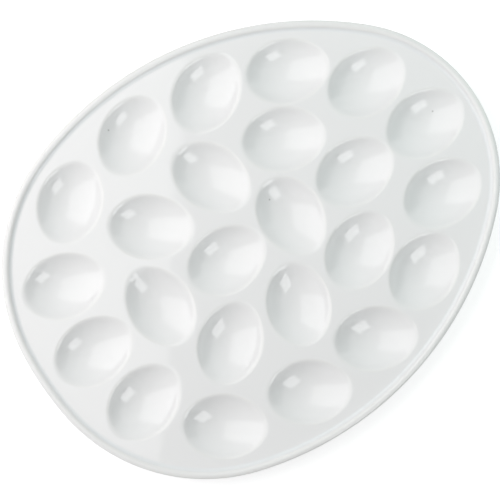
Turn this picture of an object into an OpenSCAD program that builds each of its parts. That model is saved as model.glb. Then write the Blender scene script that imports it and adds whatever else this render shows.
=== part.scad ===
// Deviled egg platter: one piece of white glazed porcelain, egg shaped in plan, with 24 egg hollows.
// X runs along the length towards the pointed end and Z is up. The origin is under the middle of the
// platter, on the surface that it stands on.

/* [Outline] */
// Length of the platter, from the blunt end to the pointed end
platter_l = 381; // [375:1:390]
// Radius of the round shoulders beside the blunt end
shoulder_r = 136; // [133:0.5:139]
// Radius of the pointed end
point_r = 114; // [111:0.5:117]
// Angle at which the pointed end runs into a side, in degrees from the long axis
point_angle = 46; // [45:0.5:47]
// Angle at which a side runs into a shoulder, in degrees from the long axis
shoulder_angle = 108; // [106:0.5:110]
// Half of the angle that the flatter nose of the blunt end takes up, in degrees
nose_angle = 6; // [5:0.5:10]

/* [Section] */
// Thickness of the fired wall
wall_t = 4.5; // [3.5:0.1:5.5]
// Depth of an egg hollow below the deck
well_depth = 12; // [10:0.5:13]
// Height of the lowest point of the domes under the hollows over the table
underside_lift = 2; // [1.5:0.1:4]
// Height of the rim over the deck
rim_rise = 3.2; // [2.4:0.1:4]
// Radius of the rounded bead along the rim
bead_r = 2.8; // [2.4:0.1:3.4]
// Radius of the cove that leads from the bead down to the deck
cove_r = 3; // [2.5:0.1:4]
// How far the bead stands out over the flank below it
bead_lip = 1; // [0.5:0.1:1.5]
// How far the outside of the foot lies inside the rim
foot_inset = 13; // [11:0.5:15]

/* [Foot] */
// Height of the bare foot ring
foot_h = 2.5; // [2:0.1:3.5]
// Width of the foot ring
foot_w = 5; // [4:0.1:6]
// Bevel on the edges that the foot ring stands on
foot_bevel = 0.8; // [0.3:0.1:1]

/* [Egg hollows] */
// Length of an egg hollow at the deck
well_l = 59.5; // [54:0.5:60]
// Width of an egg hollow at the deck
well_w = 45.5; // [42:0.5:46]
// How far the widest place of a hollow lies from its middle, towards the blunt end
well_shift = 1.2; // [0.4:0.1:2]
// Width of the eased lip around a hollow
lip_w = 1.2; // [0.8:0.1:1.6]
// Slope of the eased lip, in degrees
lip_slope = 26; // [20:1:34]

/* [Hidden] */
$fa = 4;
$fs = 0.6;
// Overrun of the cuts, and of the domes up into the wall
cut = 0.1;
// Steps along each arc, and along half of the short nose, for the edge that lies hidden in the wall
arc_steps = 12;
nose_steps = 4;
// Microns in a millimetre
microns = 1000;
// Angle at which the cove crosses the bead and the deck, in degrees: they meet at a clean edge
crossing_angle = 12;

// Hollows that lie on the long axis: place as a share of half the length, and the way that the
// pointed end of the hollow looks, in degrees
axis_shares = [
    [0.779, 0], [0.451, 0], [0.155, -90], [-0.145, 0], [-0.453, 90], [-0.761, 0]
];
// Hollows that come in mirrored pairs: place as shares of half the length and half the width, and
// the way that the pointed end looks, in degrees
pair_shares = [
    [0.682, 0.322, 0], [0.456, 0.580, -21], [0.155, 0.714, 25],
    [-0.170, 0.745, 27], [-0.512, 0.651, 36], [-0.713, 0.338, -14.5],
    [0.297, 0.322, -24], [-0.014, 0.368, -68], [-0.313, 0.337, -37]
];

// The side and the nose take the radii that close the outline: both follow from the rule that each
// arc runs smoothly into the next and that the ends lie platter_l apart
rise_gap = shoulder_r * (sin(shoulder_angle) - sin(nose_angle)) - point_r * sin(point_angle);
length_gap = platter_l - point_r * (1 - cos(point_angle))
    - shoulder_r * (cos(shoulder_angle) + cos(nose_angle));
side_rise = sin(shoulder_angle) - sin(point_angle);
side_run = cos(point_angle) - cos(shoulder_angle);
closing = side_rise * (1 - cos(nose_angle)) + sin(nose_angle) * side_run;
side_r = (rise_gap * (1 - cos(nose_angle)) + length_gap * sin(nose_angle)) / closing;
nose_r = (length_gap * side_rise - rise_gap * side_run) / closing;

// Centres of the arcs
point_c = [platter_l / 2 - point_r, 0];
side_c = point_c - (side_r - point_r) * [cos(point_angle), sin(point_angle)];
shoulder_c = side_c + (side_r - shoulder_r) * [cos(shoulder_angle), sin(shoulder_angle)];
nose_c = [nose_r - platter_l / 2, 0];
half_width = side_r + side_c[1];

// The arcs of one side, from the pointed end on, as centre, radius, first angle and last angle
side_arcs = [
    [side_c, side_r, point_angle, shoulder_angle],
    [shoulder_c, shoulder_r, shoulder_angle, 180 - nose_angle]
];
// All arcs of the outline
arcs = concat(
    [[point_c, point_r, -point_angle, point_angle], [nose_c, nose_r, 180 - nose_angle, 180 + nose_angle]],
    side_arcs,
    [for (arc = side_arcs) [[arc[0][0], -arc[0][1]], arc[1], -arc[3], -arc[2]]]
);

// All hollows: place and the way that the pointed end looks
wells = concat(
    [for (w = axis_shares) [w[0] * platter_l / 2, 0, w[1]]],
    [for (way = [-1, 1], w = pair_shares) [w[0] * platter_l / 2, way * w[1] * half_width, way * w[2]]]
);

// Heights
deck_z = underside_lift + wall_t + well_depth;
rim_z = deck_z + rim_rise;
bead_z = rim_z - bead_r;

// The cove, seen in section, with distances from the outline negative towards the middle
cove_z = deck_z + cove_r * cos(crossing_angle);
bead_to_cove = sqrt(bead_r * bead_r + cove_r * cove_r + 2 * bead_r * cove_r * cos(crossing_angle));
cove_x = -bead_r - sqrt(pow(bead_to_cove, 2) - pow(cove_z - bead_z, 2));
bead_share = (pow(bead_to_cove, 2) + bead_r * bead_r - cove_r * cove_r) / (2 * pow(bead_to_cove, 2));
crossing_z = bead_z + (cove_z - bead_z) * bead_share;

// The flank curves in from under the bead to the foot, on one radius
flank_run = foot_inset - bead_lip;
flank_r = (pow(flank_run, 2) + pow(bead_z - foot_h, 2)) / (2 * flank_run);
flank_x = -bead_lip - flank_r;
foot_x = -foot_inset - foot_w;

// Moves along v in three steps, whole millimetres and whole microns first, so that neighbouring arcs
// meet to the last digit
module shift(v) {
    whole = [for (x = v) round(x)];
    fine = [for (x = v - whole) round(x * microns) / microns];
    translate(whole) translate(fine) translate(v - whole - fine) children();
}

// Sweeps a section along one arc: its x is the distance outwards from the outline, its y the height
module along_arc(arc) {
    shift(arc[0]) rotate_extrude(start = arc[2], angle = arc[3] - arc[2])
        shift([arc[1], 0]) children();
}

module around_outline() {
    for (arc = arcs) along_arc(arc) children();
}

// Points along the outline, drawn in by inset, for what lies hidden inside the wall of the rim
function arc_points(arc, inset, steps = arc_steps) = [
    for (i = [0 : steps]) let (a = arc[2] + (arc[3] - arc[2]) * i / steps)
        arc[0] + (arc[1] - inset) * [cos(a), sin(a)]
];
function half_outline(inset) = concat(
    arc_points([point_c, point_r, 0, point_angle], inset),
    arc_points(side_arcs[0], inset),
    arc_points(side_arcs[1], inset),
    arc_points([nose_c, nose_r, 180 - nose_angle, 180], inset, nose_steps)
);

module area_inside(inset) {
    half = half_outline(inset);
    for (side = [0, 1]) mirror([0, side]) polygon(half);
}

// Section of the rim: bead, cove, flank and the land that the foot ring sits on
module rim_section() {
    difference() {
        union() {
            translate([-bead_r, bead_z]) circle(bead_r);
            // Shoulder between the bead and the deck
            translate([cove_x - wall_t, deck_z - wall_t])
                square([-bead_r - cove_x + wall_t, wall_t]);
            translate([cove_x, deck_z - wall_t]) square([-bead_r - cove_x, crossing_z - deck_z + wall_t]);
            flank_section();
        }
        intersection() {
            translate([cove_x, cove_z]) circle(cove_r);
            translate([cove_x - cove_r, deck_z]) square(2 * cove_r);
        }
        // Above the deck, inside the cove
        translate([cove_x - cove_r, deck_z]) square([cove_r, cove_r]);
    }
}

module flank_section() {
    difference() {
        intersection() {
            translate([flank_x, bead_z]) circle(flank_r);
            translate([foot_x, foot_h]) square([-foot_x, bead_z - foot_h]);
        }
        difference() {
            translate([flank_x, bead_z]) circle(flank_r - wall_t);
            translate([foot_x - cut, bead_z]) square(flank_r);
        }
    }
}

// An egg lying on its side, of which only the lowest part dips below the deck: w, l and depth are the
// half width, half length and depth of that part, and skin is added all round
module egg_former(w, l, depth, skin) {
    belly_r = (w * w + depth * depth) / (2 * depth);
    translate([-well_shift, 0, belly_r - depth]) rotate([0, 90, 0]) rotate_extrude()
        for (way = [-1, 1])
            former_half(belly_r, l + way * well_shift, depth, skin, way);
}

// Half of the former's profile, from its widest place to one end
module former_half(belly_r, l, depth, skin, way) {
    long_r = (l * l + depth * depth) / (2 * depth);
    intersection() {
        translate([belly_r - long_r, 0]) circle(long_r + skin);
        translate([0, way < 0 ? -long_r - skin : 0]) square(long_r + skin);
    }
}

// The part of a former that lies below the height top
module dipped(top) {
    intersection() {
        children();
        translate([-well_l, -well_l, top - well_l]) cube([2 * well_l, 2 * well_l, well_l]);
    }
}

module hollow() {
    lip_half_w = well_w / 2 + lip_w;
    dipped(cut) {
        egg_former(well_w / 2, well_l / 2, well_depth, 0);
        egg_former(lip_half_w, well_l / 2 + lip_w, lip_half_w * tan(lip_slope / 2), 0);
    }
}

module dome() {
    dipped(cut - wall_t) egg_former(well_w / 2, well_l / 2, well_depth, wall_t);
}

module at_wells() {
    for (w = wells) translate([w[0], w[1], deck_z]) rotate([0, 0, w[2]]) children();
}

module platter_body() {
    color("whitesmoke") difference() {
        union() {
            around_outline() rim_section();
            translate([0, 0, deck_z - wall_t]) linear_extrude(wall_t) area_inside(wall_t / 2 - cove_x);
            at_wells() dome();
        }
        at_wells() hollow();
    }
}

module foot_ring() {
    color("linen") around_outline() polygon([
        [foot_x, foot_h], [foot_x, foot_bevel], [foot_x + foot_bevel, 0],
        [-foot_inset - foot_bevel, 0], [-foot_inset, foot_bevel], [-foot_inset, foot_h]
    ]);
}

platter_body();
foot_ring();
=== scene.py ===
"""Deviled egg platter in white glazed porcelain: the looks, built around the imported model.

Everything is in metres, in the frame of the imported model: X runs along the length towards the
pointed end, Z is up, and the origin is under the middle of the platter, on the table.
"""

from __future__ import annotations

import logging
import math
from dataclasses import dataclass, field
from enum import Enum
from functools import cached_property
from typing import Callable, Iterable, Sequence

import bmesh
import bpy
from mathutils import Matrix, Vector, noise


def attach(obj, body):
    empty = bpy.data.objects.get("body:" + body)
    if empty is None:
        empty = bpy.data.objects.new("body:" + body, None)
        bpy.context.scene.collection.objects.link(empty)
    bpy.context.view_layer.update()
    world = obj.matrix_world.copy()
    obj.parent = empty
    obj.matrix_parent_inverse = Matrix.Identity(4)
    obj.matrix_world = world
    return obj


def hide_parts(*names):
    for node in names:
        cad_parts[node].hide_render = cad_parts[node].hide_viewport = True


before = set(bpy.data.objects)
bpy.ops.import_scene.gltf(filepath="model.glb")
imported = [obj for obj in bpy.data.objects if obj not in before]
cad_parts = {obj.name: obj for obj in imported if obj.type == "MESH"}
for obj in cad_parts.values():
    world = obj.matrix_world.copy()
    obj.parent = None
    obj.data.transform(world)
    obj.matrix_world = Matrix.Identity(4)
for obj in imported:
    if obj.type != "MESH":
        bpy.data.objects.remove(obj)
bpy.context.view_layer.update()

MM = 0.001
# Height that a former gives where its face doesn't reach, far over anything here
OUT_OF_REACH = 1.0
# Factor of the cubic that rounds the corner between two heights
CUBIC_FACTOR = 6
# Vertices that lie closer than this are one
WELD = 0.002 * MM
# Fewest sections that a sweep sets along one arc of the outline
FEWEST_SECTIONS = 4
# Attribute that holds how thick the glaze lies, from 0 to 1, and its usual value
POOL_LAYER = "glaze_pool"
USUAL_POOL = 0.5
# A Mix node's colour sockets, which share their names with its number and vector sockets
MIX_A, MIX_B, MIX_COLOUR = 6, 7, 2
# Watts that an area lamp needs for each square metre at a radiance of one
LAMP_WATTS = 4

Tree = bpy.types.NodeTree
Socket = bpy.types.NodeSocket

log = logging.getLogger("egg_platter")


class Slot(Enum):
    """The record's material slots."""

    GLAZED = "glazed_porcelain"
    BARE = "bare_porcelain"


def linear(hex_colour: str) -> tuple[float, float, float, float]:
    """Turns an sRGB hex colour into linear RGBA.

    Args:
        hex_colour: Six hex digits, with or without a leading #.

    Returns:
        Linear red, green, blue and an alpha of 1.
    """
    digits = hex_colour.lstrip("#")
    channels = [int(digits[i : i + 2], 16) / 255 for i in (0, 2, 4)]
    turned = [c / 12.92 if c <= 0.04045 else ((c + 0.055) / 1.055) ** 2.4 for c in channels]
    return (turned[0], turned[1], turned[2], 1.0)


def soft_min(a: float, b: float, width: float) -> float:
    """Takes the lower of two heights and rounds the corner between them.

    Args:
        a: One height.
        b: The other height.
        width: Difference of the heights at which the rounding starts.

    Returns:
        The rounded lower height.
    """
    overlap = max(width - abs(a - b), 0.0) / width
    return min(a, b) - overlap**3 * width / CUBIC_FACTOR


def largest(limit: float, holds: Callable[[float], bool], steps: int = 26) -> float:
    """Finds the largest value up to a limit for which a test still holds.

    Args:
        limit: Highest value to try.
        holds: Test that holds at zero and fails from some value on.
        steps: Number of halvings.

    Returns:
        The largest value that passes, to the precision of the halvings.
    """
    low, high = 0.0, limit
    for _ in range(steps):
        middle = (low + high) / 2
        low, high = (middle, high) if holds(middle) else (low, middle)
    return low


@dataclass(frozen=True)
class Arc:
    """One circular arc of the outline, in metres and degrees, run anticlockwise."""

    centre: Vector
    radius: float
    first: float
    last: float

    @property
    def length(self) -> float:
        """Length of the arc."""
        return self.radius * math.radians(self.last - self.first)

    def holds(self, point: Vector) -> bool:
        """Says whether the arc faces a point in plan.

        Args:
            point: Place in plan.

        Returns:
            Whether the point lies within the arc's angles, seen from its centre.
        """
        out = point - self.centre
        angle = math.degrees(math.atan2(out.y, out.x))
        return (angle - self.first) % 360 <= self.last - self.first


@dataclass(frozen=True)
class Outline:
    """The egg-shaped outline: a closed chain of arcs that run smoothly into each other."""

    length: float = 381 * MM
    shoulder_r: float = 136 * MM
    point_r: float = 114 * MM
    point_angle: float = 46
    shoulder_angle: float = 108
    nose_angle: float = 6

    @cached_property
    def arcs(self) -> tuple[Arc, ...]:
        """Chains the six arcs. The side and the nose take the radii that close the outline.

        Returns:
            The arcs, anticlockwise from the lower end of the pointed end.
        """
        point, shoulder, nose = (
            math.radians(a) for a in (self.point_angle, self.shoulder_angle, self.nose_angle)
        )
        rise = (
            self.shoulder_r * (math.sin(shoulder) - math.sin(nose))
            - self.point_r * math.sin(point)
        )
        run = (
            self.length
            - self.point_r * (1 - math.cos(point))
            - self.shoulder_r * (math.cos(shoulder) + math.cos(nose))
        )
        side_rise = math.sin(shoulder) - math.sin(point)
        side_run = math.cos(point) - math.cos(shoulder)
        closing = side_rise * (1 - math.cos(nose)) + math.sin(nose) * side_run
        side_r = (rise * (1 - math.cos(nose)) + run * math.sin(nose)) / closing
        nose_r = (run * side_rise - rise * side_run) / closing
        point_c = Vector((self.length / 2 - self.point_r, 0))
        side_c = point_c - (side_r - self.point_r) * Vector((math.cos(point), math.sin(point)))
        shoulder_c = side_c + (side_r - self.shoulder_r) * Vector(
            (math.cos(shoulder), math.sin(shoulder))
        )
        nose_c = Vector((nose_r - self.length / 2, 0))
        flip = Vector((1, -1))
        a, b, c = self.point_angle, self.shoulder_angle, 180 - self.nose_angle
        return (
            Arc(point_c, self.point_r, -a, a),
            Arc(side_c, side_r, a, b),
            Arc(shoulder_c, self.shoulder_r, b, c),
            Arc(nose_c, nose_r, c, 360 - c),
            Arc(shoulder_c * flip, self.shoulder_r, 360 - c, 360 - b),
            Arc(side_c * flip, side_r, 360 - b, 360 - a),
        )

    @property
    def half_width(self) -> float:
        """Half of the width across the sides."""
        side = self.arcs[1]
        return side.radius + side.centre.y

    def depth_inside(self, point: Vector) -> float:
        """Distance of a point in plan from the outline, positive inside."""
        depths = [a.radius - (point - a.centre).length for a in self.arcs if a.holds(point)]
        return min(depths)


@dataclass(frozen=True)
class EggFormer:
    """An egg lying on its side that dips below the deck and presses a hollow into it."""

    length: float = 59.5 * MM
    width: float = 45.5 * MM
    depth: float = 12 * MM
    belly_shift: float = 1.2 * MM

    @property
    def belly_r(self) -> float:
        """Radius of the former across its widest place."""
        half = self.width / 2
        return (half**2 + self.depth**2) / (2 * self.depth)

    def height(self, x: float, y: float, skin: float = 0.0) -> float:
        """Height of the former's lower face over the deck.

        Args:
            x: Place along the hollow, from its middle towards the pointed end.
            y: Place across the hollow.
            skin: Thickness added all round the former.

        Returns:
            The height, which is negative inside the hollow, or OUT_OF_REACH where the former's
            lower face doesn't reach.
        """
        along = x + self.belly_shift
        half = self.length / 2 + math.copysign(self.belly_shift, along)
        long_r = (half**2 + self.depth**2) / (2 * self.depth)
        reach = (long_r + skin) ** 2 - along**2
        if reach <= 0:
            return OUT_OF_REACH
        around = self.belly_r - long_r + math.sqrt(reach)
        if around <= abs(y):
            return OUT_OF_REACH
        return self.belly_r - self.depth - math.sqrt(around**2 - y**2)


@dataclass(frozen=True)
class Well:
    """One hollow: its middle in plan and the way that its pointed end looks, in degrees."""

    x: float
    y: float
    turn: float

    def local(self, point: Vector) -> tuple[float, float]:
        """Turns a point in plan into places along and across the hollow.

        Args:
            point: Place in plan.

        Returns:
            The place along the hollow, towards its pointed end, and the place across it.
        """
        angle = math.radians(self.turn)
        dx, dy = point.x - self.x, point.y - self.y
        return (
            dx * math.cos(angle) + dy * math.sin(angle),
            dy * math.cos(angle) - dx * math.sin(angle),
        )

    def ray(self, angle: float, distance: float) -> Vector:
        """The point in plan at an angle from the pointed end and a distance from the middle."""
        way = math.radians(self.turn) + angle
        return Vector((self.x + distance * math.cos(way), self.y + distance * math.sin(way)))


# Hollows on the long axis: place as a share of half the length, and the turn in degrees
AXIS_WELLS = ((0.779, 0), (0.451, 0), (0.155, -90), (-0.145, 0), (-0.453, 90), (-0.761, 0))
# Hollows in mirrored pairs: place as shares of half the length and half the width, and the turn
PAIRED_WELLS = (
    (0.682, 0.322, 0),
    (0.456, 0.580, -21),
    (0.155, 0.714, 25),
    (-0.170, 0.745, 27),
    (-0.512, 0.651, 36),
    (-0.713, 0.338, -14.5),
    (0.297, 0.322, -24),
    (-0.014, 0.368, -68),
    (-0.313, 0.337, -37),
)


def lay_out_wells(outline: Outline) -> list[Well]:
    """Places the 24 hollows: six on the long axis and nine mirrored pairs.

    Args:
        outline: The platter's outline, which gives the half length and half width.

    Returns:
        The hollows, those on the axis first.
    """
    half_l, half_w = outline.length / 2, outline.half_width
    wells = [Well(x * half_l, 0.0, turn) for x, turn in AXIS_WELLS]
    for way in (-1, 1):
        wells += [Well(x * half_l, way * y * half_w, way * turn) for x, y, turn in PAIRED_WELLS]
    return wells


class SectionPen:
    """Draws a section in the XZ plane, as edges of a bmesh, with straight runs and turns."""

    def __init__(self, bm: bmesh.types.BMesh, x: float, z: float) -> None:
        """Sets the pen down.

        Args:
            bm: Mesh to draw in.
            x: Place of the first point, outwards from the outline.
            z: Height of the first point.
        """
        self.bm = bm
        self.tip = bm.verts.new((x, 0, z))
        self.edges: list[bmesh.types.BMEdge] = []

    def line(self, x: float, z: float, steps: int = 1) -> SectionPen:
        """Draws a straight run to a point.

        Args:
            x: Place of the point, outwards from the outline.
            z: Height of the point.
            steps: Number of edges along the run.

        Returns:
            The pen.
        """
        start = self.tip.co.copy()
        for i in range(1, steps + 1):
            made = bmesh.ops.extrude_vert_indiv(self.bm, verts=[self.tip])
            self.tip = made["verts"][0]
            self.tip.co = start.lerp(Vector((x, 0, z)), i / steps)
            self.edges += made["edges"]
        return self

    def turn(self, x: float, z: float, degrees: float, steps: int) -> SectionPen:
        """Draws an arc about a centre.

        Args:
            x: Place of the centre, outwards from the outline.
            z: Height of the centre.
            degrees: Angle of the arc, positive anticlockwise.
            steps: Number of edges along the arc.

        Returns:
            The pen.
        """
        before = set(self.bm.edges)
        made = bmesh.ops.spin(
            self.bm,
            geom=[self.tip],
            cent=(x, 0, z),
            axis=(0, -1, 0),
            angle=math.radians(degrees),
            steps=steps,
        )
        self.tip = next(v for v in made["geom_last"] if isinstance(v, bmesh.types.BMVert))
        self.edges += [e for e in self.bm.edges if e not in before]
        return self


def sweep(
    bm: bmesh.types.BMesh, edges: Sequence[bmesh.types.BMEdge], outline: Outline, spacing: float
) -> None:
    """Carries a section once round the outline, by spinning it about the centre of each arc.

    Args:
        bm: Mesh that holds the section, drawn in the XZ plane with x outwards from the outline.
        edges: The edges of the section.
        outline: The outline to follow.
        spacing: Distance between two sections along the outline.
    """
    verts = list(dict.fromkeys(v for e in edges for v in e.verts))
    first = outline.arcs[0]
    turn = Matrix.Rotation(math.radians(first.first), 4, "Z")
    place = Matrix.Translation((first.centre.x, first.centre.y, 0))
    bmesh.ops.transform(
        bm, matrix=place @ turn @ Matrix.Translation((first.radius, 0, 0)), verts=verts
    )
    geom: list = verts + list(edges)
    for arc in outline.arcs:
        made = bmesh.ops.spin(
            bm,
            geom=geom,
            cent=(arc.centre.x, arc.centre.y, 0),
            axis=(0, 0, 1),
            angle=math.radians(arc.last - arc.first),
            steps=max(FEWEST_SECTIONS, round(arc.length / spacing)),
        )
        geom = made["geom_last"]
    bmesh.ops.remove_doubles(bm, verts=bm.verts, dist=WELD)


def meeting(
    centre_a: Vector, radius_a: float, centre_b: Vector, radius_b: float, upper: bool
) -> Vector:
    """Finds the centre that lies at given distances from two centres.

    Args:
        centre_a: First centre.
        radius_a: Distance from the first centre.
        centre_b: Second centre.
        radius_b: Distance from the second centre.
        upper: Whether to take the solution to the left of the way from the first to the second.

    Returns:
        The centre.
    """
    way = centre_b - centre_a
    along = (way.length_squared + radius_a**2 - radius_b**2) / (2 * way.length)
    side = math.sqrt(max(radius_a**2 - along**2, 0.0))
    unit = way.normalized()
    left = Vector((-unit.y, unit.x))
    return centre_a + unit * along + left * (side if upper else -side)


def bearing(start: Vector, end: Vector) -> float:
    """Angle of the way from one point to another, in degrees."""
    way = end - start
    return math.degrees(math.atan2(way.y, way.x))


def open_edges(bm: bmesh.types.BMesh, below: float = math.inf) -> list[bmesh.types.BMEdge]:
    """Finds the open edges of a mesh that lie below a height."""
    return [e for e in bm.edges if e.is_boundary and e.verts[0].co.z < below]


def follow(
    ring: Sequence[bmesh.types.BMVert], loop: Sequence[bmesh.types.BMEdge]
) -> list[bmesh.types.BMVert]:
    """Puts the vertices of a new loop in the order of the ring that it was drawn from.

    Args:
        ring: The vertices of the old ring, in order.
        loop: The edges that were drawn from it.

    Returns:
        The vertices of the new ring, in the same order.
    """
    fresh = {v for e in loop for v in e.verts} - set(ring)
    return [next(e.other_vert(v) for e in v.link_edges if e.other_vert(v) in fresh) for v in ring]


def add_node(
    tree: Tree, kind: str, links: dict[str | int, object] | None = None, **settings: object
) -> bpy.types.Node:
    """Adds a node, sets it up and links it.

    Args:
        tree: Node tree to add to.
        kind: Blender's name of the node type.
        links: For each input, the output socket that feeds it, or the value that it takes.
        **settings: Properties of the node.

    Returns:
        The node.
    """
    node = tree.nodes.new(kind)
    for name, value in settings.items():
        setattr(node, name, value)
    for name, value in (links or {}).items():
        if isinstance(value, Socket):
            tree.links.new(value, node.inputs[name])
        else:
            node.inputs[name].default_value = value
    return node


def start_material(name: str) -> tuple[bpy.types.Material, Tree, bpy.types.Node]:
    """Makes an empty node material with its output.

    Args:
        name: Name of the material.

    Returns:
        The material, its node tree and the output node.
    """
    material = bpy.data.materials.new(name)
    material.use_nodes = True
    tree = material.node_tree
    tree.nodes.clear()
    return material, tree, tree.nodes.new("ShaderNodeOutputMaterial")


def seen_directly(tree: Tree) -> Socket:
    """Tells the rays that show something to the eye from those that only light something.

    Args:
        tree: Node tree to add to.

    Returns:
        One for rays from the eye, from a mirror image or through glass, else zero.
    """
    path = add_node(tree, "ShaderNodeLightPath")
    some = add_node(
        tree,
        "ShaderNodeMath",
        {0: path.outputs["Is Camera Ray"], 1: path.outputs["Is Glossy Ray"]},
        operation="MAXIMUM",
    )
    return add_node(
        tree,
        "ShaderNodeMath",
        {0: some.outputs[0], 1: path.outputs["Is Transmission Ray"]},
        operation="MAXIMUM",
    ).outputs[0]


@dataclass(frozen=True)
class GlazedPorcelain:
    """White porcelain under a clear, fired gloss glaze.

    The clay gives an even white body. The glaze on it is glass: it mirrors the lamps sharply, and
    it lies a little thicker where it pooled, a shade cooler there, and thinner on the lips.
    """

    white: str = "#F0F0F0"
    pooled: str = "#EEF0F1"
    thin: str = "#F0F0EF"
    speck: str = "#8E8C86"
    roughness: float = 0.04
    ior: float = 1.5
    peel_spacing: float = 2.4 * MM
    peel_depth: float = 0.002 * MM
    wave_spacing: float = 26 * MM
    wave_depth: float = 0.05 * MM
    detail: float = 1.0
    speck_spacing: float = 40 * MM
    speck_radius: float = 0.45 * MM
    speck_core: float = 0.6
    speckless_share: float = 0.66
    marks: tuple[tuple[float, float], ...] = (
        (-44.8 * MM, 127.2 * MM),
        (158.9 * MM, 4.2 * MM),
        (23.5 * MM, 18.6 * MM),
    )
    mark_radius: float = 0.9 * MM
    mark_core: float = 0.4
    mark_strength: float = 0.45

    def make(self) -> bpy.types.Material:
        """Builds the material.

        Returns:
            The finish of the body.
        """
        # Gloss glaze fired onto white clay: an even white, with sharp mirror images on top
        material, tree, output = start_material("glazed_porcelain")
        place = add_node(tree, "ShaderNodeTexCoord").outputs["Object"]
        pool = add_node(tree, "ShaderNodeAttribute", attribute_name=POOL_LAYER).outputs["Fac"]
        tint = add_node(
            tree,
            "ShaderNodeMix",
            {"Factor": pool, MIX_A: linear(self.thin), MIX_B: linear(self.pooled)},
            data_type="RGBA",
        ).outputs[MIX_COLOUR]
        off = add_node(tree, "ShaderNodeMath", {0: pool, 1: USUAL_POOL}, operation="SUBTRACT")
        away = add_node(tree, "ShaderNodeMath", {0: off.outputs[0]}, operation="ABSOLUTE")
        unusual = add_node(
            tree, "ShaderNodeMapRange", {"Value": away.outputs[0], "From Max": USUAL_POOL}
        )
        body: object = linear(self.white)
        for share, colour in (
            (unusual.outputs[0], tint),
            (self.dark_marks(tree, place), linear(self.speck)),
        ):
            body = add_node(
                tree,
                "ShaderNodeMix",
                {"Factor": share, MIX_A: body, MIX_B: colour},
                data_type="RGBA",
            ).outputs[MIX_COLOUR]
        shader = add_node(
            tree,
            "ShaderNodeBsdfPrincipled",
            {
                "Base Color": body,
                "Roughness": self.roughness,
                "IOR": self.ior,
                "Normal": self.surface(tree, place),
            },
        )
        tree.links.new(shader.outputs[0], output.inputs["Surface"])
        return material

    def specks(self, tree: Tree, place: Socket) -> Socket:
        """Scatters small iron specks and pinholes, one in three cells of the pattern.

        Args:
            tree: Node tree to add to.
            place: Object coordinates.

        Returns:
            One on a speck, else zero.
        """
        cells = add_node(
            tree,
            "ShaderNodeTexVoronoi",
            {"Vector": place, "Scale": 1 / self.speck_spacing},
            feature="F1",
        )
        near = add_node(
            tree,
            "ShaderNodeMapRange",
            {
                "Value": cells.outputs["Distance"],
                "From Min": self.speck_radius / self.speck_spacing,
                "From Max": self.speck_core * self.speck_radius / self.speck_spacing,
            },
        )
        parts = add_node(tree, "ShaderNodeSeparateColor", {0: cells.outputs["Color"]})
        some = add_node(
            tree,
            "ShaderNodeMath",
            {0: parts.outputs[0], 1: self.speckless_share},
            operation="GREATER_THAN",
        )
        return add_node(
            tree, "ShaderNodeMath", {0: near.outputs[0], 1: some.outputs[0]}, operation="MULTIPLY"
        ).outputs[0]

    def dark_marks(self, tree: Tree, place: Socket) -> Socket:
        """Joins the scattered specks with the three larger ones that lie in hollows.

        Args:
            tree: Node tree to add to.
            place: Object coordinates.

        Returns:
            How much of the speck's colour shows, from 0 to 1.
        """
        flat = add_node(
            tree, "ShaderNodeVectorMath", {0: place, 1: (1.0, 1.0, 0.0)}, operation="MULTIPLY"
        )
        found = self.specks(tree, place)
        for x, y in self.marks:
            away = add_node(
                tree,
                "ShaderNodeVectorMath",
                {0: flat.outputs[0], 1: (x, y, 0.0)},
                operation="DISTANCE",
            )
            near = add_node(
                tree,
                "ShaderNodeMapRange",
                {
                    "Value": away.outputs["Value"],
                    "From Min": self.mark_radius,
                    "From Max": self.mark_core * self.mark_radius,
                    "To Max": self.mark_strength,
                },
            )
            found = add_node(
                tree, "ShaderNodeMath", {0: found, 1: near.outputs[0]}, operation="MAXIMUM"
            ).outputs[0]
        return found

    def surface(self, tree: Tree, place: Socket) -> Socket:
        """Lays the orange peel of the melted glaze on the slow waves of the fired clay.

        Args:
            tree: Node tree to add to.
            place: Object coordinates.

        Returns:
            The normal of the glaze.
        """
        normal: Socket | None = None
        for spacing, depth in (
            (self.wave_spacing, self.wave_depth),
            (self.peel_spacing, self.peel_depth),
        ):
            relief = add_node(
                tree,
                "ShaderNodeTexNoise",
                {"Vector": place, "Scale": 1 / spacing, "Detail": self.detail},
            )
            links = {"Height": relief.outputs[0], "Distance": depth}
            if normal is not None:
                links["Normal"] = normal
            normal = add_node(tree, "ShaderNodeBump", links).outputs[0]
        return normal


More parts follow.
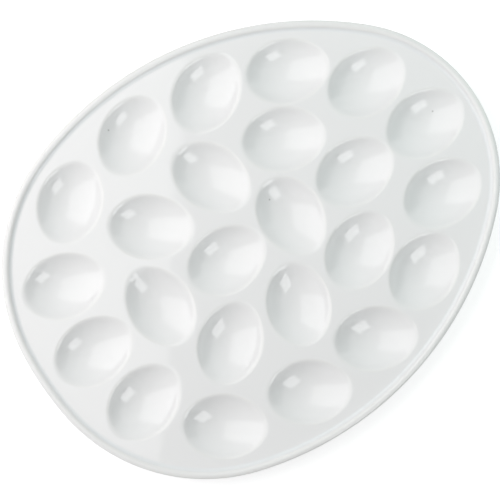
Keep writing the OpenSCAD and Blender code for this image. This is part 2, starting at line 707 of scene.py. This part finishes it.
@dataclass(frozen=True)
class BareClay:
    """Fired porcelain wiped free of glaze, where the ring stood on the kiln shelf.

    It is matt and a little creamier than the glazed body, with the fine grit of sanded clay and
    grey rubs where it has slid over tables.
    """

    clay: str = "#E6E1D6"
    shade: str = "#D6CFC1"
    rub: str = "#A9A49B"
    roughness: float = 0.82
    grit_spacing: float = 0.7 * MM
    grit_depth: float = 0.03 * MM
    grit_detail: float = 3.0
    cloud_spacing: float = 24 * MM
    cloud_detail: float = 4.0
    rub_spacing: float = 9 * MM
    rub_detail: float = 5.0
    rub_height: float = 0.35 * MM
    rub_from: float = 0.5
    rub_to: float = 0.72
    rub_strength: float = 0.7

    def make(self) -> bpy.types.Material:
        """Builds the material.

        Returns:
            The finish of the foot ring.
        """
        # Unglazed, sanded clay: matt, cream and faintly clouded, with grey wear on its sole
        material, tree, output = start_material("bare_porcelain_clay")
        place = add_node(tree, "ShaderNodeTexCoord").outputs["Object"]
        clouds = add_node(
            tree,
            "ShaderNodeTexNoise",
            {"Vector": place, "Scale": 1 / self.cloud_spacing, "Detail": self.cloud_detail},
        )
        body: object = linear(self.clay)
        for share, colour in ((clouds.outputs[0], self.shade), (self.rubs(tree, place), self.rub)):
            body = add_node(
                tree,
                "ShaderNodeMix",
                {"Factor": share, MIX_A: body, MIX_B: linear(colour)},
                data_type="RGBA",
            ).outputs[MIX_COLOUR]
        grit = add_node(
            tree,
            "ShaderNodeTexNoise",
            {"Vector": place, "Scale": 1 / self.grit_spacing, "Detail": self.grit_detail},
        )
        bump = add_node(
            tree, "ShaderNodeBump", {"Height": grit.outputs[0], "Distance": self.grit_depth}
        )
        shader = add_node(
            tree,
            "ShaderNodeBsdfPrincipled",
            {"Base Color": body, "Roughness": self.roughness, "Normal": bump.outputs[0]},
        )
        tree.links.new(shader.outputs[0], output.inputs["Surface"])
        return material

    def rubs(self, tree: Tree, place: Socket) -> Socket:
        """Lays patches of table rub on the face that the ring stands on.

        Args:
            tree: Node tree to add to.
            place: Object coordinates.

        Returns:
            How much of the rub's colour shows, from 0 to 1.
        """
        parts = add_node(tree, "ShaderNodeSeparateXYZ", {0: place})
        low = add_node(
            tree,
            "ShaderNodeMapRange",
            {"Value": parts.outputs["Z"], "From Min": self.rub_height, "From Max": 0.0},
        )
        patches = add_node(
            tree,
            "ShaderNodeTexNoise",
            {"Vector": place, "Scale": 1 / self.rub_spacing, "Detail": self.rub_detail},
        )
        strong = add_node(
            tree,
            "ShaderNodeMapRange",
            {
                "Value": patches.outputs[0],
                "From Min": self.rub_from,
                "From Max": self.rub_to,
                "To Max": self.rub_strength,
            },
        )
        return add_node(
            tree, "ShaderNodeMath", {0: low.outputs[0], 1: strong.outputs[0]}, operation="MULTIPLY"
        ).outputs[0]


def finish_piece(
    bm: bmesh.types.BMesh, name: str, material: bpy.types.Material, node: str
) -> bpy.types.Object:
    """Turns a mesh into a piece that rides on the platter and stands for a node.

    Args:
        bm: Finished mesh, freed here.
        name: Name of the piece.
        material: Its finish.
        node: The node that it stands for.

    Returns:
        The piece.
    """
    mesh = bpy.data.meshes.new(name)
    for face in bm.faces:
        face.smooth = True
    bm.to_mesh(mesh)
    bm.free()
    piece = bpy.data.objects.new(name, mesh)
    bpy.context.scene.collection.objects.link(piece)
    mesh.materials.append(material)
    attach(piece, "root")
    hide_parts(node)
    log.info("%s: %d faces", name, len(mesh.polygons))
    return piece


@dataclass
class GlazedBody:
    """The fired body: rim bead, cove, deck with 24 hollows, domes, flank and the foot's land."""

    outline: Outline
    wells: list[Well]
    former: EggFormer = field(default_factory=EggFormer)
    # Section of the rim and the wall
    deck_z: float = 18.5 * MM
    wall: float = 4.5 * MM
    rim_rise: float = 3.2 * MM
    bead_r: float = 2.8 * MM
    bead_lip: float = 1.0 * MM
    cove_r: float = 3.0 * MM
    neck_r: float = 2.0 * MM
    foot_h: float = 2.5 * MM
    foot_inset: float = 13.0 * MM
    foot_w: float = 5.0 * MM
    # The corners inside the flank, over the foot's land and under the deck
    land_drop: float = 0.6 * MM
    land_degrees: float = 6
    brow_degrees: float = 8
    brow_run: float = 2.0 * MM
    brow_x: float = 0.6 * MM
    brow_z: float = 0.3 * MM
    # Edges along the arcs and runs of the section
    cove_steps: int = 6
    bead_steps: int = 20
    neck_steps: int = 4
    flank_steps: int = 12
    land_steps: int = 2
    inner_steps: int = 8
    # Rounding of the lips and of the valleys between the domes
    lip_round: float = 3.8 * MM
    valley_round: float = 5.0 * MM
    # Clear distances that keep a hollow's outermost ring in the flat deck
    hold: float = 0.6 * MM
    hold_gap: float = 0.12 * MM
    ridge_gap: float = 0.25 * MM
    rim_gap: float = 0.3 * MM
    deck_margin: float = 8.6 * MM
    # Distances within which a hollow counts for a place, for another hollow and for itself
    dome_reach: float = 60 * MM
    beside_reach: float = 90 * MM
    widest: float = 40 * MM
    # Fineness of the mesh
    spacing: float = 3.0 * MM
    ring_points: int = 64
    lip_rings: int = 9
    bowl_rings: int = 11
    under_rings: int = 66
    room_halvings: int = 16
    under_pole: tuple[float, float] = (-8 * MM, 0)
    # Warp of the firing, which fades out towards the foot
    warp: float = 0.12 * MM
    warp_spacing: float = 70 * MM
    warp_fade: float = 4 * MM
    # Bend of the surface, per metre, at which the glaze is thickest or thinnest
    full_bend: float = 120
    shortest_edge: float = 0.4 * MM

    def build(self, material: bpy.types.Material) -> bpy.types.Object:
        """Builds the whole body.

        Args:
            material: The glaze finish.

        Returns:
            The piece that stands for the platter's body.
        """
        bm = bmesh.new()
        sweep(bm, self.draw_section(bm), self.outline, self.spacing)
        self.close_underside(bm)
        for well in self.wells:
            pressed = self.press_well(well)
            bm.from_mesh(pressed)
            bpy.data.meshes.remove(pressed)
        bmesh.ops.triangle_fill(bm, use_beauty=True, use_dissolve=False, edges=open_edges(bm))
        bmesh.ops.recalc_face_normals(bm, faces=bm.faces)
        self.mark_glaze(bm)
        self.add_warp(bm)
        return finish_piece(bm, "glazed_body", material, "platter_body")

    def draw_section(self, bm: bmesh.types.BMesh) -> list[bmesh.types.BMEdge]:
        """Draws the section from the deck over the bead and down the flank to the underside.

        Args:
            bm: Mesh to draw in.

        Returns:
            The edges of the section.
        """
        bead = Vector((-self.bead_r, self.deck_z + self.rim_rise - self.bead_r))
        cove_z = self.deck_z + self.cove_r
        reach = math.sqrt((self.bead_r + self.cove_r) ** 2 - (cove_z - bead.y) ** 2)
        cove = Vector((bead.x - reach, cove_z))
        run = self.foot_inset - self.bead_lip
        flank_r = (run**2 + (bead.y - self.foot_h) ** 2) / (2 * run)
        flank = Vector((-self.bead_lip - flank_r, bead.y))
        neck = meeting(bead, self.bead_r + self.neck_r, flank, flank_r + self.neck_r, True)
        up = bearing(cove, bead)
        down = bearing(bead, neck)
        back = bearing(neck, flank)
        foot_angle = -math.degrees(math.asin((bead.y - self.foot_h) / flank_r))
        pen = SectionPen(bm, -self.deck_margin, self.deck_z)
        pen.line(cove.x, self.deck_z)
        pen.turn(cove.x, cove.y, up + 90, self.cove_steps)
        pen.turn(bead.x, bead.y, down - (up + 180), self.bead_steps)
        pen.turn(neck.x, neck.y, (back % 360) - (down + 180), self.neck_steps)
        pen.turn(flank.x, flank.y, foot_angle - (back - 180), self.flank_steps)
        inner_x = -self.foot_inset - self.foot_w
        inner_r = flank_r - self.wall
        step = math.asin((inner_x - flank.x) / inner_r)
        top = math.asin((bead.y - self.deck_z + self.wall) / inner_r)
        inner_z = bead.y - inner_r * math.cos(step)
        pen.line(inner_x, self.foot_h, self.land_steps)
        pen.line(inner_x, inner_z - self.land_drop, self.land_steps)
        start = math.degrees(step) - 90 + self.land_degrees
        pen.line(
            flank.x + inner_r * math.cos(math.radians(start)),
            bead.y + inner_r * math.sin(math.radians(start)),
        )
        end = -math.degrees(top) - self.brow_degrees
        pen.turn(flank.x, flank.y, end - start, self.inner_steps)
        under_z = self.deck_z - self.wall
        last = Vector((pen.tip.co.x, pen.tip.co.z))
        pen.line(last.x - self.brow_x, (last.y + under_z) / 2 + self.brow_z)
        pen.line(last.x - self.brow_run, under_z)
        return pen.edges

    def top_height(self, point: Vector, wells: Iterable[Well]) -> float:
        """Height of the deck with its hollows pressed in, lips rounded.

        Args:
            point: Place in plan.
            wells: Hollows that are near enough to count.

        Returns:
            The height over the table.
        """
        height = 0.0
        for well in wells:
            height = soft_min(height, self.former.height(*well.local(point)), self.lip_round)
        return self.deck_z + height

    def under_height(self, point: Vector) -> float:
        """Height of the underside: the deck's lower face with the domes, valleys rounded.

        Args:
            point: Place in plan.

        Returns:
            The height over the table.
        """
        height = -self.wall
        for well in self.near(point, self.dome_reach):
            dome = self.former.height(*well.local(point), skin=self.wall)
            height = soft_min(height, dome, self.valley_round)
        return self.deck_z + height

    def near(self, point: Vector, reach: float) -> list[Well]:
        """The hollows whose middles lie within reach of a point."""
        return [w for w in self.wells if math.hypot(w.x - point.x, w.y - point.y) < reach]

    @cached_property
    def angles(self) -> list[float]:
        """Angles of the points of a hollow's rings, in radians."""
        return [math.tau * i / self.ring_points for i in range(self.ring_points)]

    def contour(self, height: float) -> list[float]:
        """Finds the line along which a hollow's former has a height over the deck.

        Args:
            height: The height over the deck, negative inside the hollow.

        Returns:
            The line's distance from the hollow's middle, at each of the angles.
        """
        return [
            largest(
                self.widest,
                lambda d, a=angle: self.former.height(d * math.cos(a), d * math.sin(a)) < height,
            )
            for angle in self.angles
        ]

    @cached_property
    def lip_contour(self) -> list[float]:
        """Where the rounding of a lip ends, on the deck."""
        return self.contour(self.lip_round)

    @cached_property
    def wall_contour(self) -> list[float]:
        """Where the rounding of a lip ends, in the hollow."""
        return self.contour(-self.lip_round)

    def room(self, well: Well, others: Sequence[Well], angle: float, distance: float) -> float:
        """How far a hollow's outermost ring may lie from its middle, clear of what is beside it.

        Args:
            well: The hollow.
            others: The hollows near it.
            angle: Angle from the hollow's pointed end.
            distance: Distance at which the ring would lie if it were alone.

        Returns:
            That distance, or less where a ridge between two hollows or the rim comes first.
        """

        def clear_at(d: float) -> bool:
            """Says whether the ring is clear at a distance from the middle."""
            return self.is_clear(well, others, well.ray(angle, d))

        if clear_at(distance):
            return distance
        return largest(distance, clear_at, self.room_halvings)

    def is_clear(self, well: Well, others: Sequence[Well], point: Vector) -> bool:
        """Says whether a place belongs to a hollow, clear of the rim and of its neighbours.

        Args:
            well: The hollow.
            others: The hollows near it.
            point: Place in plan.

        Returns:
            Whether the place is clear.
        """
        if self.outline.depth_inside(point) < self.deck_margin + self.rim_gap:
            return False
        heights = [self.former.height(*w.local(point)) for w in others]
        ridge = min(heights, default=OUT_OF_REACH)
        return self.former.height(*well.local(point)) < ridge - self.ridge_gap

    def ring_distances(self, well: Well, others: Sequence[Well]) -> list[list[float]]:
        """Works out the rings of a hollow, from the one that lies in the deck inwards.

        Args:
            well: The hollow.
            others: The hollows near it.

        Returns:
            For each ring, the distances of its points from the hollow's middle.
        """
        holds = [
            self.room(well, others, angle, lip + self.hold)
            for angle, lip in zip(self.angles, self.lip_contour)
        ]
        edge = [min(lip, held - self.hold_gap) for lip, held in zip(self.lip_contour, holds)]
        rings = [holds]
        for i in range(self.lip_rings):
            share = i / self.lip_rings
            rings.append([e + (w - e) * share for e, w in zip(edge, self.wall_contour)])
        for i in range(self.bowl_rings):
            rings.append([w * (1 - i / self.bowl_rings) for w in self.wall_contour])
        return rings

    def press_well(self, well: Well) -> bpy.types.Mesh:
        """Builds one hollow as rings, from its lip down to its lowest point.

        Args:
            well: The hollow.

        Returns:
            A mesh that holds it, open along its outermost ring, which lies in the deck.
        """
        middle = Vector((well.x, well.y))
        others = [w for w in self.near(middle, self.beside_reach) if w is not well]
        bm = bmesh.new()
        made = bmesh.ops.create_circle(
            bm, cap_ends=False, segments=self.ring_points, radius=1.0
        )
        ring = sorted(made["verts"], key=lambda v: math.atan2(v.co.y, v.co.x) % math.tau)
        loop = list(bm.edges)
        for number, distances in enumerate(self.ring_distances(well, others)):
            if number:
                grown = bmesh.ops.extrude_edge_only(bm, edges=loop)["geom"]
                loop = [e for e in grown if isinstance(e, bmesh.types.BMEdge)]
                ring = follow(ring, loop)
                loop = [e for e in loop if e.verts[0] in set(ring) and e.verts[1] in set(ring)]
            counted = [well] + others if number <= self.lip_rings else [well]
            for vert, angle, distance in zip(ring, self.angles, distances):
                point = well.ray(angle, distance)
                vert.co = (point.x, point.y, self.top_height(point, counted))
        cap = bmesh.ops.contextual_create(bm, geom=loop)["faces"]
        lowest = bmesh.ops.poke(bm, faces=cap)["verts"][0]
        lowest.co = (well.x, well.y, self.top_height(middle, [well]))
        pressed = bpy.data.meshes.new("pressed_well")
        bm.to_mesh(pressed)
        bm.free()
        return pressed

    def close_underside(self, bm: bmesh.types.BMesh) -> None:
        """Runs rings from the flank's inner edge to the middle of the underside.

        Args:
            bm: Mesh that holds the swept section.
        """
        loop = open_edges(bm, below=self.deck_z - self.wall / 2)
        ring = list(dict.fromkeys(v for e in loop for v in e.verts))
        starts = {v: Vector((v.co.x, v.co.y)) for v in ring}
        middle = Vector(self.under_pole)
        for i in range(1, self.under_rings):
            share = 1 - i / self.under_rings
            grown = bmesh.ops.extrude_edge_only(bm, edges=loop)["geom"]
            loop = [e for e in grown if isinstance(e, bmesh.types.BMEdge) and e.is_boundary]
            fresh = follow(ring, loop)
            starts = {new: starts[old] for new, old in zip(fresh, ring)}
            ring = fresh
            for vert in ring:
                point = middle.lerp(starts[vert], share)
                vert.co = (point.x, point.y, self.under_height(point))
        cap = bmesh.ops.contextual_create(bm, geom=loop)["faces"]
        pole = bmesh.ops.poke(bm, faces=cap)["verts"][0]
        pole.co.z = self.under_height(middle)

    def mark_glaze(self, bm: bmesh.types.BMesh) -> None:
        """Stores how thick the glaze lies: more where the surface is hollow, less on edges.

        Args:
            bm: The whole body.
        """
        layer = bm.verts.layers.float.new(POOL_LAYER)
        bm.normal_update()
        for vert in bm.verts:
            bend = [
                (e.other_vert(vert).co - vert.co).normalized().dot(vert.normal)
                / max(e.calc_length(), self.shortest_edge)
                for e in vert.link_edges
            ]
            curve = sum(bend) / max(len(bend), 1)
            vert[layer] = min(max(USUAL_POOL + curve / self.full_bend, 0.0), 1.0)

    def add_warp(self, bm: bmesh.types.BMesh) -> None:
        """Gives the flat faces the slight waves that a firing leaves.

        Args:
            bm: The whole body.
        """
        for vert in bm.verts:
            lifted = min(max((vert.co.z - self.foot_h) / self.warp_fade, 0.0), 1.0)
            # Half is taken off, so that the waves lower the surface and hardly lift it
            wave = noise.noise(vert.co / self.warp_spacing) - 0.5
            vert.co.z += self.warp * wave * lifted


@dataclass
class FootRing:
    """The bare ring that the platter stands on, its edges sanded round."""

    outline: Outline
    height: float = 2.5 * MM
    width: float = 5.0 * MM
    inset: float = 13.0 * MM
    edge_r: float = 0.9 * MM
    spacing: float = 3.0 * MM
    edge_steps: int = 5
    wall_steps: int = 2
    face_steps: int = 3

    def build(self, material: bpy.types.Material) -> bpy.types.Object:
        """Builds the ring.

        Args:
            material: The bare clay finish.

        Returns:
            The piece that stands for the foot ring.
        """
        bm = bmesh.new()
        outer, inner = -self.inset, -self.inset - self.width
        pen = SectionPen(bm, outer, self.height)
        pen.line(outer, self.edge_r, self.wall_steps)
        pen.turn(outer - self.edge_r, self.edge_r, -90, self.edge_steps)
        pen.line(inner + self.edge_r, 0, self.face_steps)
        pen.turn(inner + self.edge_r, self.edge_r, -90, self.edge_steps)
        pen.line(inner, self.height, self.wall_steps)
        pen.line(outer, self.height, self.face_steps)
        sweep(bm, pen.edges, self.outline, self.spacing)
        bmesh.ops.recalc_face_normals(bm, faces=bm.faces)
        return finish_piece(bm, "foot_ring_bare", material, "foot_ring")


@dataclass(frozen=True)
class Panel:
    """A lamp or cloth of the studio, whose spot lies right, up and over the table as pictured.

    It looks at the middle of the platter, and is then slid sideways and upwards in its own plane.
    A radiance of one is as bright as the white background.
    """

    name: str
    spot: tuple[float, float, float]
    size: tuple[float, float]
    radiance: float
    slide: tuple[float, float] = (0.0, 0.0)
    colour: str = "#FFFFFF"


@dataclass
class Studio:
    """Floor, lamps, world and camera."""

    outline: Outline
    floor_reach: float = 3.0
    floor_inset: float = 14.2 * MM
    floor_spacing: float = 20 * MM
    floor_colour: str = "#E9E9E9"
    floor_lift: float = 0.5
    ambient: float = 0.47
    cloths: tuple[Panel, ...] = (
        Panel("softbox_cloth", (-0.56, 0.04, 0.525), (1.02, 1.38), 2.45, slide=(-0.06, -0.005)),
        Panel("window_cloth", (0.396, -0.469, 0.42), (0.33, 0.36), 4.1),
        Panel("flag_cloth", (1.7, -0.37, 0.52), (2.7, 1.2), 0.05),
    )
    lamps: tuple[Panel, ...] = (
        Panel("key_left", (-0.64, 0.24, 0.81), (0.9, 0.9), 1.78, colour="#FFFDFD"),
        Panel("fill_right", (0.45, 0.25, 0.35), (0.5, 0.5), 0.64, colour="#DEFBF5"),
        Panel("low_left", (-1.99, -1.99, 1.03), (1.5, 1.5), 0.85),
    )
    frame_width: float = 364.72 * MM
    camera_height: float = 1.6
    turn: float = -34.535
    target: tuple[float, float, float] = (-9.2 * MM, -3.7 * MM, 18.2 * MM)

    def build(self) -> None:
        """Builds the whole studio."""
        self.lay_floor()
        self.light_world()
        for cloth in self.cloths:
            self.hang_cloth(cloth)
        for lamp in self.lamps:
            self.hang_lamp(lamp)
        self.place_camera()

    def in_view(self, right: float, up: float) -> Vector:
        """Turns a way in the picture into a way over the table.

        Args:
            right: Part of the way to the right in the picture.
            up: Part of the way upwards in the picture.

        Returns:
            The way in plan.
        """
        angle = math.radians(self.turn)
        return Vector(
            (
                right * math.cos(angle) - up * math.sin(angle),
                right * math.sin(angle) + up * math.cos(angle),
            )
        )

    def lay_floor(self) -> None:
        """Lays a pale floor, white to the eye, that keeps the platter's shadow.

        It ends under the foot ring and can't be seen from below, so that the underside of the
        platter can be looked at in daylight.
        """
        bm = bmesh.new()
        pen = SectionPen(bm, -self.floor_inset, 0)
        pen.line(self.floor_reach, 0)
        sweep(bm, pen.edges, self.outline, self.floor_spacing)
        bm.normal_update()
        bmesh.ops.reverse_faces(bm, faces=[face for face in bm.faces if face.normal.z < 0])
        mesh = bpy.data.meshes.new("floor")
        bm.to_mesh(mesh)
        bm.free()
        floor = bpy.data.objects.new("floor", mesh)
        bpy.context.scene.collection.objects.link(floor)
        mesh.materials.append(self.paint_floor())

    def paint_floor(self) -> bpy.types.Material:
        """Builds the floor's finish.

        Returns:
            The material.
        """
        # Matt white studio paper, brighter to the eye than it lights the platter
        material, tree, output = start_material("floor_white")
        seen = seen_directly(tree)
        paper = add_node(tree, "ShaderNodeBsdfDiffuse", {"Color": linear(self.floor_colour)})
        lift = add_node(
            tree, "ShaderNodeMath", {0: seen, 1: self.floor_lift}, operation="MULTIPLY"
        )
        glow = add_node(tree, "ShaderNodeEmission", {"Strength": lift.outputs[0]})
        both = add_node(tree, "ShaderNodeAddShader", {0: paper.outputs[0], 1: glow.outputs[0]})
        below = add_node(
            tree,
            "ShaderNodeMath",
            {0: seen, 1: add_node(tree, "ShaderNodeNewGeometry").outputs["Backfacing"]},
            operation="MULTIPLY",
        )
        clear = add_node(tree, "ShaderNodeBsdfTransparent")
        mixed = add_node(
            tree,
            "ShaderNodeMixShader",
            {0: below.outputs[0], 1: both.outputs[0], 2: clear.outputs[0]},
        )
        tree.links.new(mixed.outputs[0], output.inputs["Surface"])
        return material

    def light_world(self) -> None:
        """Sets an even white world, dimmer for the light that it gives than for the eye."""
        world = bpy.data.worlds.new("studio")
        bpy.context.scene.world = world
        world.use_nodes = True
        tree = world.node_tree
        tree.nodes.clear()
        strength = add_node(
            tree, "ShaderNodeMapRange", {"Value": seen_directly(tree), "To Min": self.ambient}
        )
        glow = add_node(
            tree,
            "ShaderNodeBackground",
            {"Color": linear("#FFFFFF"), "Strength": strength.outputs[0]},
        )
        output = add_node(tree, "ShaderNodeOutputWorld")
        tree.links.new(glow.outputs[0], output.inputs["Surface"])

    def aim(self, thing: bpy.types.Object, panel: Panel) -> None:
        """Puts a lamp or cloth in its place, so that it looks at the middle of the platter.

        Args:
            thing: The lamp or cloth, which the camera doesn't see.
            panel: Its place.
        """
        flat = self.in_view(panel.spot[0], panel.spot[1])
        spot = Vector((flat.x, flat.y, panel.spot[2]))
        away = spot.normalized()
        side = Vector((0, 0, 1)).cross(away).normalized()
        up = away.cross(side)
        thing.location = spot + side * panel.slide[0] + up * panel.slide[1]
        thing.rotation_euler = Matrix((side, up, away)).transposed().to_euler()
        thing.visible_camera = False
        bpy.context.scene.collection.objects.link(thing)

    def hang_lamp(self, panel: Panel) -> None:
        """Hangs a rectangular lamp, which lights the clay but isn't mirrored by the glaze.

        Args:
            panel: The lamp.
        """
        data = bpy.data.lights.new(panel.name, "AREA")
        data.shape = "RECTANGLE"
        data.size, data.size_y = panel.size
        data.energy = LAMP_WATTS * panel.radiance * panel.size[0] * panel.size[1]
        data.color = linear(panel.colour)[:3]
        lamp = bpy.data.objects.new(panel.name, data)
        lamp.visible_glossy = False
        self.aim(lamp, panel)

    def hang_cloth(self, panel: Panel) -> None:
        """Hangs a bright or dark cloth, which only the mirror images in the glaze show.

        Args:
            panel: The cloth.
        """
        bm = bmesh.new()
        bmesh.ops.create_grid(bm, x_segments=1, y_segments=1, size=0.5)
        bmesh.ops.scale(bm, vec=(panel.size[0], panel.size[1], 1), verts=bm.verts)
        mesh = bpy.data.meshes.new(panel.name)
        bm.to_mesh(mesh)
        bm.free()
        cloth = bpy.data.objects.new(panel.name, mesh)
        # Lit nylon: an even glow with no grain
        material, tree, output = start_material("softbox_nylon")
        glow = add_node(tree, "ShaderNodeEmission", {"Strength": panel.radiance})
        tree.links.new(glow.outputs[0], output.inputs["Surface"])
        mesh.materials.append(material)
        cloth.visible_diffuse = False
        cloth.visible_shadow = False
        cloth.visible_transmission = False
        self.aim(cloth, panel)

    def place_camera(self) -> None:
        """Looks straight down, turned so that the pointed end is at the upper right."""
        data = bpy.data.cameras.new("camera")
        data.lens = data.sensor_width * self.camera_height / self.frame_width
        camera = bpy.data.objects.new("camera", data)
        x, y, z = self.target
        camera.location = (x, y, z + self.camera_height)
        camera.rotation_euler = (0, 0, math.radians(self.turn))
        bpy.context.scene.collection.objects.link(camera)
        bpy.context.scene.camera = camera
        bpy.context.scene.view_settings.view_transform = "Standard"


def main() -> None:
    """Builds the platter, then the studio."""
    logging.basicConfig(level=logging.INFO, format="%(name)s: %(message)s")
    outline = Outline()
    wells = lay_out_wells(outline)
    GlazedBody(outline, wells).build(GlazedPorcelain().make())
    FootRing(outline).build(BareClay().make())
    Studio(outline).build()


if __name__ == "__main__":
    main()
